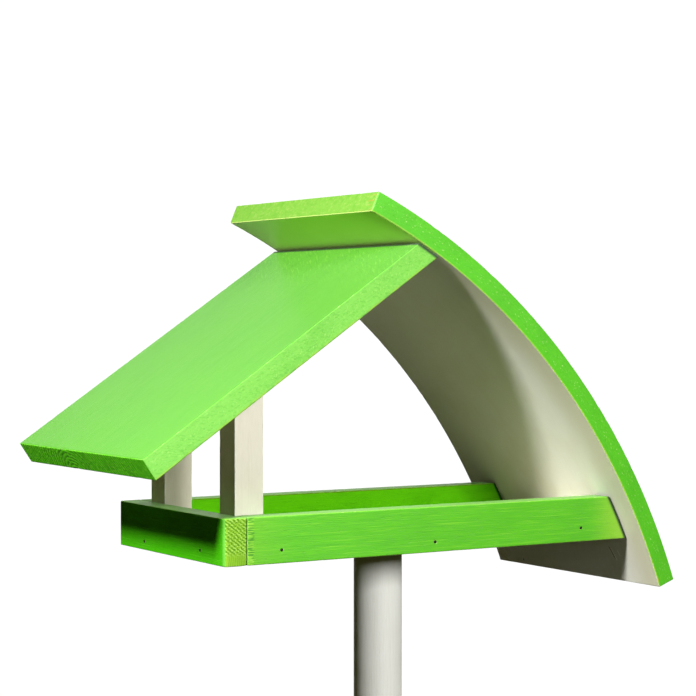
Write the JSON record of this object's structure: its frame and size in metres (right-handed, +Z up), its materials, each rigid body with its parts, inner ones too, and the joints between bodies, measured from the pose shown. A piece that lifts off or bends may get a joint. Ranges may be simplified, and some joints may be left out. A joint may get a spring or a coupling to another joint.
{
  "type": "bird feeder on pole",
  "caption": "Wooden bird feeder with an open tray, a sloping roof board and a curved plywood back, on a round pole with a cross foot.",
  "frame": {"origin": "on the ground, on the pole's axis, at the middle of the cross foot", "axes": "+Z up along the pole; -X towards the low eaves and the open front; +X towards the curved back; +Y to the left as seen from the front"},
  "size_m": [0.56, 0.56, 1.2197],
  "materials": {
    "green_painted_wood": "satin paint",
    "painted_plywood": "satin paint, green outside and off-white inside",
    "white_painted_wood": "satin paint",
    "zinc_plated_steel": "zinc plated",
    "nail_steel": "dull",
    "beech_dowel": "bare wood"
  },
  "bodies": {
    "root": {"brace_foot_screw_front_inner": "zinc_plated_steel", "brace_foot_screw_front_outer": "zinc_plated_steel", "brace_foot_screw_left_inner": "zinc_plated_steel", "brace_foot_screw_left_outer": "zinc_plated_steel", "brace_foot_screw_rear_inner": "zinc_plated_steel", "brace_foot_screw_rear_outer": "zinc_plated_steel", "brace_foot_screw_right_inner": "zinc_plated_steel", "brace_foot_screw_right_outer": "zinc_plated_steel", "brace_front": "white_painted_wood", "brace_left": "white_painted_wood", "brace_pole_screw_front": "zinc_plated_steel", "brace_pole_screw_left": "zinc_plated_steel", "brace_pole_screw_rear": "zinc_plated_steel", "brace_pole_screw_right": "zinc_plated_steel", "brace_rear": "white_painted_wood", "brace_right": "white_painted_wood", "curved_panel": "painted_plywood", "floor_board": "green_painted_wood", "floor_screw_left": "zinc_plated_steel", "floor_screw_right": "zinc_plated_steel", "foot_board_lower": "white_painted_wood", "foot_board_upper": "white_painted_wood", "foot_bolt": "zinc_plated_steel", "foot_washer": "zinc_plated_steel", "front_board": "green_painted_wood", "nail_front_1": "nail_steel", "nail_front_2": "nail_steel", "nail_left_1": "nail_steel", "nail_left_2": "nail_steel", "nail_left_3": "nail_steel", "nail_right_1": "nail_steel", "nail_right_2": "nail_steel", "nail_right_3": "nail_steel", "plate_screw_1": "zinc_plated_steel", "plate_screw_2": "zinc_plated_steel", "plate_screw_3": "zinc_plated_steel", "plate_screw_4": "zinc_plated_steel", "pole": "white_painted_wood", "pole_plate": "zinc_plated_steel", "pole_screw": "zinc_plated_steel", "post_left": "white_painted_wood", "post_right": "white_painted_wood", "post_screw_left": "zinc_plated_steel", "post_screw_right": "zinc_plated_steel", "roof_board": "green_painted_wood", "roof_dowel_left": "beech_dowel", "roof_dowel_right": "beech_dowel", "roof_screw_left": "zinc_plated_steel", "roof_screw_middle": "zinc_plated_steel", "roof_screw_right": "zinc_plated_steel", "side_board_left": "green_painted_wood", "side_board_right": "green_painted_wood", "side_screw_left": "zinc_plated_steel", "side_screw_right": "zinc_plated_steel"}
  },
  "joints": []
}
